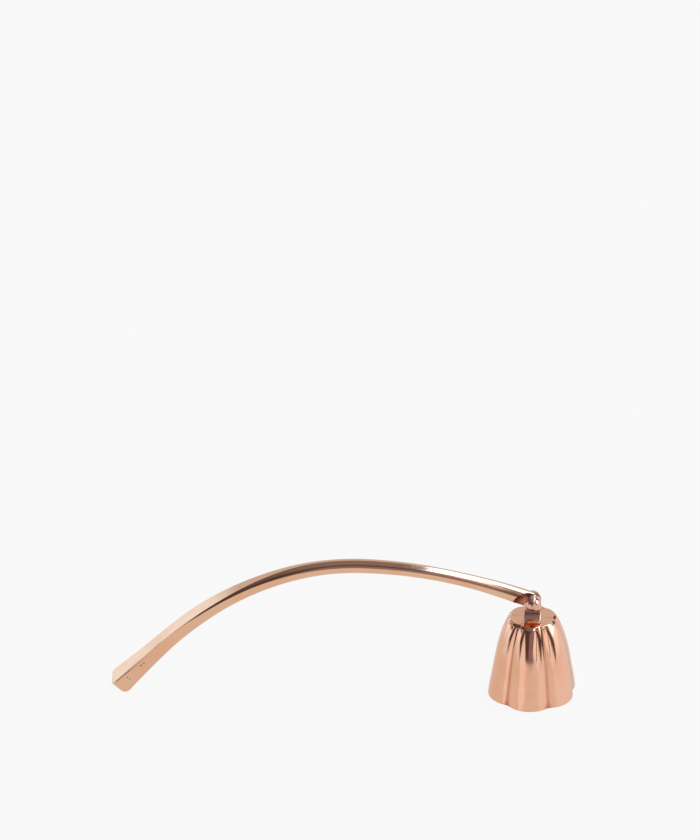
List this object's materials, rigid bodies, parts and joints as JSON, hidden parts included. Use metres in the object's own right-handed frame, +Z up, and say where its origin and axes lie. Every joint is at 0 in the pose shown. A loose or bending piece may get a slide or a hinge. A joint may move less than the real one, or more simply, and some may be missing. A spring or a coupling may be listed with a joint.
{
  "type": "candle snuffer",
  "caption": "Polished candle snuffer: a fluted bell cup on a small forked hinge, swung from a long arched handle with a flattened grip.",
  "frame": {"origin": "centre of the bell's mouth, on the surface that the snuffer stands on", "axes": "+Z up along the bell's axis, the handle runs towards -X, the hinge pin lies along Y with its ball head at -Y"},
  "size_m": [0.2152, 0.0418, 0.0694],
  "materials": {
    "bell_metal": "polished",
    "fork_metal": "polished",
    "handle_metal": "polished",
    "pin_metal": "polished",
    "cap_metal": "polished",
    "screw_metal": "satin",
    "washer_metal": "satin"
  },
  "bodies": {
    "bell": {"bell_cup": "bell_metal", "hinge_fork": "fork_metal", "hinge_pin": "pin_metal", "pin_cap": "cap_metal", "fork_screw": "screw_metal", "screw_washer": "washer_metal"},
    "handle": {"handle": "handle_metal"}
  },
  "joints": [
    {"name": "handle_hinge", "type": "hinge", "parent": "bell", "child": "handle", "pos_m": [0, 0, 0.048], "axis": [0, 1, 0], "range_deg": [-30, 148]}
  ]
}
